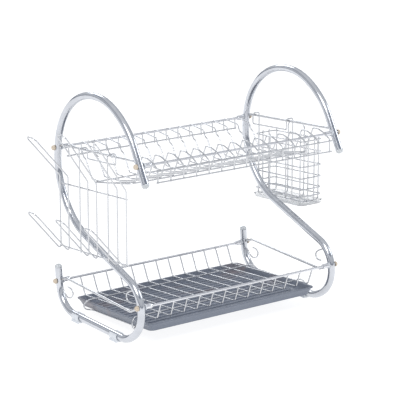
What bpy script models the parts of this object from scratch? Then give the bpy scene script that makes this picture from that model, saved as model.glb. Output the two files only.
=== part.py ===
"""Two-tier dish drying rack: two S-shaped tube side frames that carry two welded wire
baskets, a drip tray, a hook-on mug rack and a hook-on utensil basket. Metres, +Z up,
+X to the right along the baskets, -Y to the front."""
import math

import bmesh
import bpy
from mathutils import Matrix, Vector

# ---- driving dimensions -----------------------------------------------------
FRAME_X = 0.190             # centre plane of each side frame
TUBE_R = 0.006
TUBE_Z = 0.009              # centre line of the run that stands on the feet
THICK_R = 0.0020            # rails and braces
THIN_R = 0.0012             # basket, rack and carrier wires
GAP = 0.0003                # air left between pieces that touch
WELD = 0.0003               # how far welded wires sink into each other
SLOPE = math.radians(4.14)  # baskets, racks and braces rise to the front
MODEL_SHIFT = Vector((0.0084, 0.0006, 0.0))   # puts the whole rack's box on the Z axis

# Rails, as (y, z) of their centre lines.
LOW_BACK = (0.1246, 0.0555)
LOW_FRONT = (-0.1146, 0.0734)
TOP_BACK = (0.1212, 0.2812)
TOP_FRONT = (-0.1150, 0.2977)
SIDES = ((-1, "left"), (1, "right"))

# Corners of the side frame's centre line, (y, z, bend radius), from the rear end.
TUBE_CORNERS = (
    (0.1270, 0.0774, 0.000),
    (0.1196, TUBE_Z, 0.0434),
    (-0.0983, TUBE_Z, 0.0550),
    (-0.1153, 0.0544, 0.0450),
    (-0.1138, 0.0979, 0.0450),
    (0.1227, 0.1804, 0.1152),
    (0.1200, 0.3990, 0.1181),
    (-0.0695, 0.3760, 0.1145),
    (-0.1283, 0.2719, 0.000),
)
BORE_R = 0.0050
BORE_DEEP = 0.012
SCREW_HOLE_R = 0.0023

SLEEVE_R = 0.0040
SLEEVE_LONG = 0.011
WASHER_R = 0.0050
WASHER_THICK = 0.0016
WASHER_X = FRAME_X - TUBE_R - GAP            # the washer's face against the tube
SLEEVE_X = WASHER_X - WASHER_THICK - GAP     # the sleeve's mouth, against the washer
RAIL_X = SLEEVE_X - SLEEVE_LONG + 0.0015     # the rail's end, inside the sleeve's floor

LOW_WIRES = 13
LOW_PITCH = 0.0252
TOP_WIRES = 15
TOP_PITCH = 0.0240

TRAY_HALF = 0.1600          # the tray floor's half width
TRAY_RIM_HALF = 0.1662
TRAY_Y = (-0.097, 0.108)    # front and back edge of its floor
TRAY_REAR_Z = 0.0137        # underside of the floor at y = 0.08
TRAY_SLOPE = math.atan2(0.0077, 0.138)
TRAY_HIGH = 0.013
TRAY_WALL = 0.0018
TRAY_RIBS = 15

MUG_X = -0.2008             # plane of the mug rack's uprights
MUG_PAIRS = ((0.0870, 0.0610, 0.0710), (0.0035, 0.0565, 0.0840), (-0.0800, 0.0555, 0.0840))
MUG_PAIR_HALF = 0.0125      # each pair is (middle y, reach out, rise) of its upper hook
MUG_SINGLES = (0.0395, -0.0415)
MUG_LOW_HOOK = (0.0630, 0.0745)   # reach out and rise of every lower hook

CADDY_X = (0.2008, 0.2440)  # inner and outer face of the utensil basket
CADDY_Y = (-0.0200, 0.1075)
CADDY_RINGS = (-0.0354, -0.0570, -0.0795, -0.0995, -0.1187, -0.1308)

STEEL = ("chromed steel", (0.80, 0.82, 0.86), 0.12, 1.0)
SLATE = ("slate plastic", (0.16, 0.18, 0.22), 0.35, 0.0)
WHITE = ("white plastic", (0.90, 0.91, 0.93), 0.35, 0.0)
CREAM = ("cream plastic", (0.80, 0.70, 0.50), 0.35, 0.0)
CLEAR = ("milky plastic", (0.82, 0.84, 0.86), 0.25, 0.0)


# ---- scene, materials and the few makers that every piece uses ---------------
for old in list(bpy.data.objects):
    bpy.data.objects.remove(old, do_unlink=True)
rack = bpy.data.collections.new("dish_drying_rack")
bpy.context.scene.collection.children.link(rack)
cutters = bpy.data.collections.new("cutters")
bpy.context.scene.collection.children.link(cutters)
base = bpy.data.objects.new("rack_base", None)
base.location = MODEL_SHIFT
rack.objects.link(base)


def material(spec):
    name, colour, roughness, metallic = spec
    made = bpy.data.materials.get(name)
    if made is None:
        made = bpy.data.materials.new(name)
        made.use_nodes = True
        shader = made.node_tree.nodes["Principled BSDF"]
        shader.inputs["Base Color"].default_value = (*colour, 1.0)
        shader.inputs["Roughness"].default_value = roughness
        shader.inputs["Metallic"].default_value = metallic
    return made


def at(x, place):
    """A point at x on a section point (y, z)."""
    return Vector((x, place[0], place[1]))


def bent(corners, radius, closed=False, turn=18.0, share=0.49):
    """The corners' path with each corner rounded; radius is one value or one a corner, and
    a bend takes up at most this share of the shorter run beside it."""
    count = len(corners)
    radii = [radius] * count if isinstance(radius, (int, float)) else list(radius)
    path = []
    for i, corner in enumerate(corners):
        if not closed and i in (0, count - 1):
            path.append(corner.copy())
            continue
        before = corners[i - 1] - corner
        after = corners[(i + 1) % count] - corner
        angle = math.pi - before.angle(after)
        if angle < 0.05 or radii[i] == 0:
            path.append(corner.copy())
            continue
        room = share * min(before.length, after.length)
        back = min(radii[i] * math.tan(angle / 2), room)
        swing = back / math.tan(angle / 2)
        middle = corner + (before.normalized() + after.normalized()).normalized() * (
            swing / math.cos(angle / 2))
        start = corner + before.normalized() * back - middle
        end = corner + after.normalized() * back - middle
        steps = max(1, round(math.degrees(angle) / turn))
        for k in range(steps + 1):
            part = k / steps
            spoke = (start * math.sin((1 - part) * angle)
                     + end * math.sin(part * angle)) / math.sin(angle)
            path.append(middle + spoke)
    return path


def rod(path, radius, closed=False, resolution=1):
    """A round wire along the path, as a closed mesh object that is in no collection yet."""
    curve = bpy.data.curves.new("wire", "CURVE")
    curve.dimensions = "3D"
    curve.bevel_depth = radius
    curve.bevel_resolution = resolution
    curve.use_fill_caps = True
    line = curve.splines.new("POLY")
    line.points.add(len(path) - 1)
    for point, place in zip(line.points, path):
        point.co = (*place, 1.0)
    line.use_cyclic_u = closed
    holder = bpy.data.objects.new("wire", curve)
    bpy.context.scene.collection.objects.link(holder)
    graph = bpy.context.evaluated_depsgraph_get()
    mesh = bpy.data.meshes.new_from_object(holder.evaluated_get(graph))
    bpy.data.objects.remove(holder, do_unlink=True)
    bpy.data.curves.remove(curve)
    shape = bmesh.new()
    shape.from_mesh(mesh)
    bmesh.ops.remove_doubles(shape, verts=shape.verts, dist=1e-6)
    bmesh.ops.recalc_face_normals(shape, faces=shape.faces)
    shape.to_mesh(mesh)
    shape.free()
    return bpy.data.objects.new("wire", mesh)


def turned(profile, steps=16, ring_like=False):
    """A closed turned solid about Z from (radius, z) points that start and end on the axis,
    or that go once round the section of a ring."""
    shape = bmesh.new()
    rings = []
    for radius, z in profile:
        if radius == 0:
            rings.append([shape.verts.new((0, 0, z))])
            continue
        rings.append([
            shape.verts.new((radius * math.cos(2 * math.pi * k / steps),
                             radius * math.sin(2 * math.pi * k / steps), z))
            for k in range(steps)])
    if ring_like:
        rings.append(rings[0])
    for upper, lower in zip(rings, rings[1:]):
        for k in range(steps):
            n = (k + 1) % steps
            ring = [upper[k % len(upper)], upper[n % len(upper)],
                    lower[n % len(lower)], lower[k % len(lower)]]
            shape.faces.new(dict.fromkeys(ring))
    bmesh.ops.recalc_face_normals(shape, faces=shape.faces)
    mesh = bpy.data.meshes.new("turned")
    shape.to_mesh(mesh)
    shape.free()
    return bpy.data.objects.new("turned", mesh)


def place(thing, where, along):
    """Puts a turned solid's Z axis on a direction, at a place, by its mesh."""
    turn = Vector((0, 0, 1)).rotation_difference(along).to_matrix().to_4x4()
    thing.data.transform(Matrix.Translation(where) @ turn)
    return thing


def finish(thing, name, spec):
    thing.name = name
    thing.data.name = name
    thing.data.materials.clear()
    thing.data.materials.append(material(spec))
    thing.data.shade_smooth()
    thing.data.set_sharp_from_angle(angle=math.radians(35))
    thing.parent = base
    rack.objects.link(thing)
    return thing


def helper(thing, name, group):
    thing.name = name
    thing.hide_render = True
    thing.display_type = "WIRE"
    group.objects.link(thing)
    return thing


def weld(first, others, name):
    """Joins the other rods to the first one with a union; they stay as hidden helpers."""
    group = bpy.data.collections.new(name + "_wires")
    cutters.children.link(group)
    for i, other in enumerate(others):
        helper(other, f"{name}_wire_{i}", group)
        other.parent = base
    join = first.modifiers.new("weld", "BOOLEAN")
    join.operation = "UNION"
    join.operand_type = "COLLECTION"
    join.collection = group
    join.solver = "EXACT"


def cut(thing, tool, name):
    helper(tool, name, cutters)
    tool.parent = base
    hole = thing.modifiers.new(name, "BOOLEAN")
    hole.operation = "DIFFERENCE"
    hole.object = tool
    hole.solver = "EXACT"


def hung(y, z):
    """The section point (y, z) that is z above the upper brace: uprights stay upright, and
    what runs front to back follows the brace's slope."""
    return (y, BRACE_MID_Z - y * math.tan(SLOPE) + z)


# ---- side frames --------------------------------------------------------------
# Each is one bent tube with a rail hole at each of its four joints, a brace wire at
# each tier and two wire scrolls, all welded in the tube's plane.
LOW_BRACE = (LOW_BACK, (0.1180, 0.0590), (0.1010, 0.0650), (-0.0850, 0.0590),
             (-0.1050, 0.0690), LOW_FRONT)
TOP_BRACE = (TOP_BACK, (0.1100, 0.2870), (0.0957, 0.2887), (-0.0977, 0.3027),
             (-0.1080, 0.3020), TOP_FRONT)
BRACE_MID_Z = 0.2956        # the top brace's height at y = 0
REAR_SCROLL = ((0.0985, 0.0510), (0.0900, 0.0508), (0.0835, 0.0470), (0.0840, 0.0400),
               (0.0900, 0.0345), (0.0990, 0.0325), (0.1060, 0.0360), (0.1105, 0.0420),
               (0.1215, 0.0465))
FRONT_SCROLL = ((-0.0880, 0.0744), (-0.0800, 0.0735), (-0.0740, 0.0775), (-0.0740, 0.0850),
                (-0.0815, 0.0905), (-0.0985, 0.0980))


def screw_places():
    return (("lower_rear", LOW_BACK), ("lower_front", LOW_FRONT),
            ("upper_rear", TOP_BACK), ("upper_front", TOP_FRONT))


def tube_path(x):
    corners = [Vector((x, y, z)) for y, z, _ in TUBE_CORNERS]
    return bent(corners, [r for _, _, r in TUBE_CORNERS], turn=15.0, share=0.9)


def side_frame(side, label):
    x = side * FRAME_X
    path = tube_path(x)
    tube = rod(path, TUBE_R, resolution=3)
    parts = []
    for line in (LOW_BRACE, TOP_BRACE):
        points = [at(x, p) for p in line]
        parts.append(rod(bent(points, 0.006, turn=30), THICK_R))
    for line in (REAR_SCROLL, FRONT_SCROLL):
        points = [at(x, p) for p in line]
        parts.append(rod(bent(points, 0.007, turn=25.0), THIN_R))
    weld(tube, parts, label + "_side_frame")
    for joint, spot in screw_places():
        hole = turned(((0, -0.020), (SCREW_HOLE_R, -0.020), (SCREW_HOLE_R, 0.020), (0, 0.020)), 12)
        cut(tube, place(hole, at(x, spot), Vector((1, 0, 0))), f"{label}_{joint}_hole")
    for end, tip, inner in (("rear", path[0], path[1]), ("front", path[-1], path[-2])):
        away = (tip - inner).normalized()
        bore = turned(((0, -BORE_DEEP), (BORE_R, -BORE_DEEP), (BORE_R, 0.01), (0, 0.01)), 12)
        cut(tube, place(bore, tip, away), f"{label}_{end}_bore")
        stem = BORE_R - GAP
        plug = turned((
            (0, -BORE_DEEP + 0.002), (stem, -BORE_DEEP + 0.002), (stem, GAP), (TUBE_R, GAP),
            (TUBE_R, 0.0020), (0.0044, 0.0048), (0, 0.0062)), 12)
        finish(place(plug, tip, away), f"{label}_{end}_end_plug", CLEAR)
    finish(tube, label + "_side_frame", STEEL)


for side, label in SIDES:
    side_frame(side, label)


# ---- feet: white clips that snap on the tube's bottom run ----------------------
FOOT_Y = (("front", -0.044), ("rear", 0.068))
FOOT_LONG = 0.019
CLIP_IN = TUBE_R + GAP
CLIP_OUT = TUBE_R + 0.0022
FOOT_HALF = 0.0085


def foot_outline():
    """The clip's section (x, z) about the tube's axis: a cradle open at the top."""
    mouth = math.radians(38)
    toe = math.radians(-40)
    steps = 7
    right = [(CLIP_OUT * math.cos(a), CLIP_OUT * math.sin(a))
             for a in (mouth + (toe - mouth) * k / steps for k in range(steps + 1))]
    right += [(FOOT_HALF, -TUBE_Z + 0.0015), (FOOT_HALF - 0.0008, -TUBE_Z)]
    left = [(-x, z) for x, z in reversed(right)]
    sweep = math.radians(180) + 2 * mouth
    inner = [(CLIP_IN * math.cos(a), CLIP_IN * math.sin(a))
             for a in (math.pi - mouth + sweep * k / 14 for k in range(15))]
    return right + left + inner


for side, label in SIDES:
    for end, y in FOOT_Y:
        outline = bpy.data.curves.new("clip", "CURVE")
        outline.dimensions = "2D"
        outline.fill_mode = "BOTH"
        outline.extrude = FOOT_LONG / 2
        ring = outline.splines.new("POLY")
        points = foot_outline()
        ring.points.add(len(points) - 1)
        for point, (px, pz) in zip(ring.points, points):
            point.co = (px, pz, 0, 1)
        ring.use_cyclic_u = True
        outline.materials.append(material(WHITE))
        clip = bpy.data.objects.new(f"{label}_{end}_foot", outline)
        clip.rotation_euler = (math.radians(90), 0, 0)
        clip.location = (side * FRAME_X, y, TUBE_Z)
        clip.parent = base
        rack.objects.link(clip)


# ---- screws, their caps and washers --------------------------------------------
# A screw runs from outside through the tube and a white washer into the sleeve on the
# rail's end, and a cream cap covers its head.
SHANK_R = 0.0019
HEAD_R = 0.0036
HEAD_HIGH = 0.0022
CAP_R = 0.0050
REACH = 2 * TUBE_R + GAP + WASHER_THICK + 0.0070

for side, label in SIDES:
    outward = Vector((side, 0, 0))
    for joint, spot in screw_places():
        seat = at(side * (FRAME_X + TUBE_R + GAP), spot)
        screw = turned((
            (0, -REACH - 0.0005), (SHANK_R, -REACH), (SHANK_R, 0.0),
            (HEAD_R, 0.0), (HEAD_R, HEAD_HIGH - 0.0006), (HEAD_R - 0.0008, HEAD_HIGH),
            (0, HEAD_HIGH)), 10)
        finish(place(screw, seat, outward), f"{label}_{joint}_screw", STEEL)
        roof = HEAD_HIGH + GAP
        wall = HEAD_R + GAP
        cap = turned((
            (0, roof), (wall, roof), (wall, 0.0), (CAP_R, 0.0), (CAP_R, 0.0022),
            (0.0040, 0.0044), (0, 0.0056)), 12)
        finish(place(cap, seat, outward), f"{label}_{joint}_screw_cap", CREAM)
        washer = turned((
            (SCREW_HOLE_R, 0), (WASHER_R - 0.0004, 0), (WASHER_R, -0.0004),
            (WASHER_R, -WASHER_THICK), (SCREW_HOLE_R, -WASHER_THICK)), 14, ring_like=True)
        place(washer, at(side * WASHER_X, spot), outward)
        finish(washer, f"{label}_{joint}_washer", WHITE)


# ---- baskets ------------------------------------------------------------------
def rail(spot):
    """A thick rail with a blind sleeve on each end for the screws."""
    bar = rod([at(-RAIL_X, spot), at(RAIL_X, spot)], THICK_R)
    sleeves = []
    for side, _ in SIDES:
        bore = SCREW_HOLE_R
        deep = -SLEEVE_LONG + 0.0030
        sleeve = turned((
            (0, -SLEEVE_LONG), (SLEEVE_R - 0.001, -SLEEVE_LONG), (SLEEVE_R, -SLEEVE_LONG + 0.001),
            (SLEEVE_R, 0), (bore, 0), (bore, deep), (0, deep)), 12)
        sleeves.append(place(sleeve, at(side * SLEEVE_X, spot), Vector((side, 0, 0))))
    return bar, sleeves


def across(count, pitch):
    return [(i - (count - 1) / 2) * pitch for i in range(count)]


# Lower basket: cross wires bent to a shallow trough, hung under the two thick rails.
FLAT = 0.866                # a six-sided wire's half width across its flats, over its radius
TOUCH = (THICK_R + THIN_R) * FLAT - WELD
CROSS = 2 * THIN_R * FLAT - WELD
LAP = 0.0018                # the cross wires' ends stand this far inside the rails' centres
LOW_SECTION = (
    (LOW_BACK[0] - LAP, LOW_BACK[1] + THIN_R),
    (0.1080, 0.0270),
    (-0.1015, 0.0446),
    (LOW_FRONT[0] + LAP, LOW_FRONT[1] + THIN_R),
)


def on_line(y, start, end):
    share = (y - start[0]) / (end[0] - start[0])
    return start[1] + share * (end[1] - start[1])


def low_floor_z(y):
    return on_line(y, LOW_SECTION[1], LOW_SECTION[2])


# The tray carrier is one closed wire: its back run lies on the floor wires, it curls
# round the tray's sides and passes under them, and its front run is under the floor wires.
CARRIER_BACK = (0.0705, low_floor_z(0.0705) + CROSS)
CARRIER_FRONT = (-0.0630, low_floor_z(-0.0630) - CROSS)


def tray_under(y):
    """Height of the tray floor's underside."""
    return TRAY_REAR_Z + (0.08 - y) * math.tan(TRAY_SLOPE)


def carrier_corners():
    run = TRAY_HALF - 0.0008
    drop = THIN_R + GAP
    half = [
        Vector((0.160, *CARRIER_BACK)),
        Vector((0.1745, 0.0730, 0.0300)),
        Vector((0.1745, 0.0770, 0.0150)),
        Vector((run, 0.0740, tray_under(0.0740) - drop)),
        Vector((run, -0.0540, tray_under(-0.0540) - drop)),
        Vector((0.1710, -0.0640, tray_under(-0.0640) - drop)),
        Vector((0.1750, -0.0660, 0.0290)),
        Vector((0.1700, *CARRIER_FRONT)),
    ]
    return half + [Vector((-p.x, p.y, p.z)) for p in reversed(half)]


def lower_basket():
    bar, parts = rail(LOW_BACK)
    front_bar, sleeves = rail(LOW_FRONT)
    parts += [front_bar] + sleeves
    for x in across(LOW_WIRES, LOW_PITCH):
        parts.append(rod(bent([at(x, p) for p in LOW_SECTION], 0.006, turn=40), THIN_R, resolution=0))
    parts.append(rod(bent(carrier_corners(), 0.009, closed=True, turn=24), THIN_R, closed=True))
    weld(bar, parts, "lower_basket")
    finish(bar, "lower_basket", STEEL)


lower_basket()

# Upper basket: each cross wire starts at the thin back rail, goes over the thick back
# rail, down to the floor, up to a tooth that holds the plates, and over the front rail.
TOP_SECTION = (
    (0.1228, 0.2615),
    (0.1240, 0.2790),
    (TOP_BACK[0], TOP_BACK[1] + TOUCH),
    (0.0830, 0.2805),
    (0.0790, 0.2705),
    (0.0725, 0.2680),
    (0.0550, 0.2392),
    (0.0100, 0.2415),
    (-0.0680, 0.2600),
    (-0.0880, 0.3038),
    (-0.1019, 0.3042),
    (TOP_FRONT[0] - 0.0010, TOP_FRONT[1] + TOUCH),
    (-0.1300, 0.2925),
    (-0.1300, 0.2705),
)
TOP_FLOOR_BACK = (0.0385, 0.2400)
TOP_FLOOR_FRONT = (-0.0660, 0.2595)


def upper_basket():
    bar, parts = rail(TOP_BACK)
    front_bar, sleeves = rail(TOP_FRONT)
    parts += [front_bar] + sleeves
    for x in across(TOP_WIRES, TOP_PITCH):
        parts.append(rod(bent([at(x, p) for p in TOP_SECTION], 0.004, turn=80), THIN_R, resolution=0))
    half = (TOP_WIRES - 1) / 2 * TOP_PITCH
    end = half + 0.0035
    behind = at(end, (TOP_SECTION[0][0] + CROSS, 0.2630))
    front_top = at(end, (-0.1300 - CROSS, 0.2900))
    front_low = at(end, (-0.1300 - CROSS, 0.2725))
    for edge in (behind, front_top, front_low):
        parts.append(rod([edge, Vector((-edge.x, edge.y, edge.z))], THIN_R))
    # The floor's own loop lies under the cross wires, with rounded corners.
    back = (TOP_FLOOR_BACK[0], TOP_FLOOR_BACK[1] - CROSS)
    front = (TOP_FLOOR_FRONT[0], TOP_FLOOR_FRONT[1] - CROSS)
    loop = [at(end + 0.004, back), at(end + 0.004, front), at(-end - 0.004, front), at(-end - 0.004, back)]
    parts.append(rod(bent(loop, 0.012, closed=True, turn=30), THIN_R, closed=True))
    weld(bar, parts, "upper_basket")
    finish(bar, "upper_basket", STEEL)


upper_basket()


# ---- drip tray ------------------------------------------------------------------
# A moulded shallow tray that lies on the carrier's end runs and slides out to the front.
def drip_tray():
    shape = bmesh.new()
    depth = TRAY_Y[1] - TRAY_Y[0]
    flare = TRAY_RIM_HALF - TRAY_HALF
    corner = 0.012
    lip = 0.0016

    def ring(grow, z):
        wide = TRAY_HALF + grow
        deep = depth / 2 + grow
        points = []
        for cx, cy, start in ((wide, deep, 0), (-wide, deep, 90), (-wide, -deep, 180),
                              (wide, -deep, 270)):
            sx = math.copysign(corner, cx)
            sy = math.copysign(corner, cy)
            for k in range(4):
                a = math.radians(start + 30 * k)
                points.append(shape.verts.new((cx - sx + corner * math.cos(a),
                                               cy - sy + corner * math.sin(a), z)))
        return points

    rings = [
        ring(-0.0015, 0), ring(0, 0.0015), ring(flare - lip, TRAY_HIGH - TRAY_WALL),
        ring(flare, TRAY_HIGH - TRAY_WALL), ring(flare, TRAY_HIGH),
        ring(flare - lip - TRAY_WALL, TRAY_HIGH), ring(-TRAY_WALL - 0.001, TRAY_WALL)]
    for lower, upper in zip(rings, rings[1:]):
        for k in range(len(lower)):
            n = (k + 1) % len(lower)
            shape.faces.new((lower[k], lower[n], upper[n], upper[k]))
    shape.faces.new(list(reversed(rings[0])))
    shape.faces.new(rings[-1])
    bmesh.ops.recalc_face_normals(shape, faces=shape.faces)
    mesh = bpy.data.meshes.new("drip_tray")
    shape.to_mesh(mesh)
    shape.free()
    tray = bpy.data.objects.new("drip_tray", mesh)
    ribs = []
    rib_long = 2 * TRAY_HALF - 0.024
    for i in range(TRAY_RIBS):
        bar = bmesh.new()
        bmesh.ops.create_cube(bar, size=1.0)
        y = (i - (TRAY_RIBS - 1) / 2) * (depth - 0.024) / (TRAY_RIBS - 1)
        bmesh.ops.scale(bar, vec=(rib_long, 0.003, 0.0024), verts=bar.verts)
        bmesh.ops.translate(bar, vec=(0, y, TRAY_WALL), verts=bar.verts)
        rib = bpy.data.meshes.new("rib")
        bar.to_mesh(rib)
        bar.free()
        ribs.append(bpy.data.objects.new("rib", rib))
    mid_y = (TRAY_Y[0] + TRAY_Y[1]) / 2
    tilt = Matrix.Translation((0, mid_y, tray_under(mid_y))) @ Matrix.Rotation(-TRAY_SLOPE, 4, "X")
    for piece in [tray] + ribs:
        piece.data.transform(tilt)
    weld(tray, ribs, "drip_tray")
    finish(tray, "drip_tray", SLATE)


drip_tray()


# ---- hook-on racks ----------------------------------------------------------------
def over_brace(side, wall_x, y, foot_z):
    """Corners of a hanger wire: up a wall, over the brace and down on its inner side."""
    reach = THICK_R + THIN_R + GAP
    inner = side * (FRAME_X - reach - 0.0008)
    top = reach + 0.0003
    return [at(wall_x, hung(y, foot_z)), at(wall_x, hung(y, top)),
            at(inner, hung(y, top)), at(inner, hung(y, -0.0145))]


def hanger(side, wall_x, first_y, second_y, foot_z):
    """One wire: both hooks and the run that joins them on the brace's inner side."""
    one = over_brace(side, wall_x, first_y, foot_z)
    two = over_brace(side, wall_x, second_y, foot_z)
    return rod(bent(one + two[::-1], 0.0034, turn=30), THIN_R)


def mug_rack():
    parts = []
    low, high = -0.1650, -0.0600
    ends = (MUG_PAIRS[0][0] + MUG_PAIR_HALF + 0.001, MUG_PAIRS[-1][0] - MUG_PAIR_HALF - 0.001)
    cross_x = MUG_X + CROSS
    first = rod([at(cross_x, hung(ends[0], low)), at(cross_x, hung(ends[1], low))], THIN_R)
    parts.append(rod([at(cross_x, hung(ends[0], high)), at(cross_x, hung(ends[1], high))], THIN_R))
    foot, shoulder = -0.1720, -0.0465
    for middle, out, rise in MUG_PAIRS:
        near, far = middle + MUG_PAIR_HALF, middle - MUG_PAIR_HALF
        half = [(MUG_X - MUG_LOW_HOOK[0], foot + MUG_LOW_HOOK[1]), (MUG_X, foot),
                (MUG_X, shoulder), (MUG_X - out, shoulder + rise)]
        corners = [at(x, hung(near, z)) for x, z in half]
        corners += [at(x, hung(far, z)) for x, z in reversed(half)]
        bends = [0.010, 0.004, 0.008, 0.010, 0.010, 0.008, 0.004, 0.010]
        parts.append(rod(bent(corners, bends, closed=True, turn=36), THIN_R, closed=True))
    parts.append(hanger(-1, MUG_X, MUG_SINGLES[0], MUG_SINGLES[1], low - 0.002))
    weld(first, parts, "mug_rack")
    finish(first, "mug_rack", STEEL)


mug_rack()


def caddy_ring(z, grow=0.0):
    x0, x1 = CADDY_X[0] - grow, CADDY_X[1] + grow
    y0, y1 = CADDY_Y[0] - grow, CADDY_Y[1] + grow
    return [at(x0, hung(y0, z)), at(x1, hung(y0, z)), at(x1, hung(y1, z)), at(x0, hung(y1, z))]


CADDY_FLOOR = CADDY_RINGS[-1]
CADDY_HOOKS = (0.0955, 0.0035)
CADDY_HOOP = (0.0252, 0.0688)
CADDY_HOOP_TOP = -0.0125


def utensil_basket():
    first = rod(bent(caddy_ring(CADDY_RINGS[0]), 0.006, closed=True, turn=45), THIN_R, closed=True)
    parts = []
    for z in CADDY_RINGS[1:]:
        ring = bent(caddy_ring(z), 0.006, closed=True, turn=45)
        parts.append(rod(ring, THIN_R, closed=True, resolution=0))
    inside = CROSS
    top = CADDY_RINGS[0] + 0.004
    bottom = CADDY_FLOOR - 0.0105
    inner_x, outer_x = CADDY_X[0] + inside, CADDY_X[1] - inside
    # The middle wires join above the rim in a hoop on the outer side.
    low_bend, high_bend = 0.005, 0.011
    hoop = [at(x, hung(CADDY_HOOP[0], z)) for x, z in (
        (inner_x, top), (inner_x, bottom), (outer_x, bottom), (outer_x, CADDY_HOOP_TOP))]
    hoop += [at(x, hung(CADDY_HOOP[1], z)) for x, z in (
        (outer_x, CADDY_HOOP_TOP), (outer_x, bottom), (inner_x, bottom), (inner_x, top))]
    bends = [0, low_bend, low_bend, high_bend, high_bend, low_bend, low_bend, 0]
    parts.append(rod(bent(hoop, bends, turn=30), THIN_R))
    # The others are U-shaped: down one long side, across the floor and up the other.
    for y in (CADDY_Y[0] + 0.0065, CADDY_Y[1] - 0.0065):
        u = [(inner_x, top), (inner_x, bottom), (outer_x, bottom), (outer_x, top)]
        parts.append(rod(bent([at(x, hung(y, z)) for x, z in u], 0.005, turn=90), THIN_R, resolution=0))
    for x in (CADDY_X[0] + 0.015, CADDY_X[1] - 0.015):
        y0, y1 = CADDY_Y[0] + inside, CADDY_Y[1] - inside
        u = [(y0, top), (y0, bottom - CROSS), (y1, bottom - CROSS), (y1, top)]
        parts.append(rod(bent([at(x, hung(y, z)) for y, z in u], 0.005, turn=90), THIN_R, resolution=0))
    wall = CADDY_X[0] - CROSS
    parts.append(hanger(1, wall, CADDY_HOOKS[0], CADDY_HOOKS[1], CADDY_FLOOR))
    weld(first, parts, "utensil_basket")
    finish(first, "utensil_basket", STEEL)


utensil_basket()


def utensil_tray():
    """The shallow plastic cup that pushes up round the utensil basket's floor."""
    shape = bmesh.new()
    low = CADDY_FLOOR - 0.0160
    rim = CADDY_FLOOR - 0.0095

    def ring(grow, z):
        return [shape.verts.new(p) for p in bent(caddy_ring(z, grow), 0.009, closed=True, turn=30)]

    wall = 0.0014
    clear = THIN_R + GAP
    rings = [ring(clear - 0.0005, low), ring(clear + wall, low + 0.0015),
             ring(clear + wall, rim - 0.0015), ring(clear + wall + 0.0012, rim - 0.0015),
             ring(clear + wall + 0.0012, rim), ring(clear, rim), ring(clear, low + wall)]
    for lower, upper in zip(rings, rings[1:]):
        for k in range(len(lower)):
            n = (k + 1) % len(lower)
            shape.faces.new((lower[k], lower[n], upper[n], upper[k]))
    shape.faces.new(list(reversed(rings[0])))
    shape.faces.new(rings[-1])
    bmesh.ops.recalc_face_normals(shape, faces=shape.faces)
    mesh = bpy.data.meshes.new("utensil_tray")
    shape.to_mesh(mesh)
    shape.free()
    finish(bpy.data.objects.new("utensil_tray", mesh), "utensil_tray", CLEAR)


utensil_tray()
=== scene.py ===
"""Two-tier dish drying rack with S-shaped tube side frames, two welded wire baskets, a drip
tray, a hook-on mug rack and a hook-on utensil basket. Metres, +Z up, -Y to the front."""
import math

import bmesh
import bpy
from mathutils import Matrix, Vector


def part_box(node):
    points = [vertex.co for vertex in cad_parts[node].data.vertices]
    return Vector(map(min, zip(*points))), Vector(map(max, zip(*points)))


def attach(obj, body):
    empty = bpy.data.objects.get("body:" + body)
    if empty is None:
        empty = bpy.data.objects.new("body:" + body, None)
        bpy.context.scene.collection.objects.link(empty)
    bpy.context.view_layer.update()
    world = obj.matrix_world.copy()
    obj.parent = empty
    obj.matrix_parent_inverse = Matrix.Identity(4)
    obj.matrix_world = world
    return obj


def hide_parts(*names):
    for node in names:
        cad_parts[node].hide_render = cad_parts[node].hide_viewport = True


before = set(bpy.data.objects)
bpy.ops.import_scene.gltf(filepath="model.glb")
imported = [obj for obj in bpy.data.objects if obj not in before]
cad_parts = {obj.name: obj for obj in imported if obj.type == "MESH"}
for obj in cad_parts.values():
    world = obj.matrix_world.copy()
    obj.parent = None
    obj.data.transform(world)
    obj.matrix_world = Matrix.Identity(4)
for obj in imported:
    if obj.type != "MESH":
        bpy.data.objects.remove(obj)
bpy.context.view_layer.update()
bpy.ops.object.select_all(action="DESELECT")

# ---- Studio -------------------------------------------------------------------
# A pale floor that runs out of sight, three broad soft lights, and a sky of pale and dark
# bands, so that chrome has something dark to mirror.
left_low, left_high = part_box("left_side_frame")
right_low, right_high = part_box("right_side_frame")
RACK_X = (left_low[0] + right_high[0]) / 2
FEET_SET_BACK = 0.012
RACK_Y = (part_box("left_front_foot")[0][1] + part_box("left_rear_foot")[1][1]) / 2 - FEET_SET_BACK

bpy.context.scene.view_settings.view_transform = "Standard"
bpy.ops.mesh.primitive_plane_add(size=60, location=(0, 0, 0))
floor = bpy.context.active_object
floor.name = "studio_floor"
floor_white = bpy.data.materials.new("pale_floor")
floor_white.use_nodes = True
floor_shader = floor_white.node_tree.nodes["Principled BSDF"]
floor_shader.inputs["Base Color"].default_value = (0.32, 0.32, 0.325, 1)
floor_shader.inputs["Roughness"].default_value = 0.9
floor_shader.inputs["Specular IOR Level"].default_value = 0.1
floor_shader.inputs["Emission Color"].default_value = (1, 1, 1, 1)
floor_shader.inputs["Emission Strength"].default_value = 0.86
floor.data.materials.append(floor_white)


def studio_light(name, place, aim, size, watts, tint):
    bpy.ops.object.light_add(type="AREA", location=place)
    lamp = bpy.context.active_object
    lamp.name = name
    lamp.data.size = size
    lamp.data.energy = watts
    lamp.data.color = tint
    lamp.rotation_euler = (Vector(aim) - Vector(place)).to_track_quat("-Z", "Y").to_euler()


studio_light("key_light", (-2.2, -1.4, 3.0), (0, 0, 0.15), 1.6, 46, (1.0, 0.99, 0.98))
studio_light("fill_light", (2.8, -1.2, 1.8), (0, 0, 0.15), 1.0, 14, (0.94, 0.97, 1.0))
studio_light("rim_light", (0.6, 2.8, 2.4), (0, 0, 0.2), 1.4, 20, (0.96, 0.98, 1.0))

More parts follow.
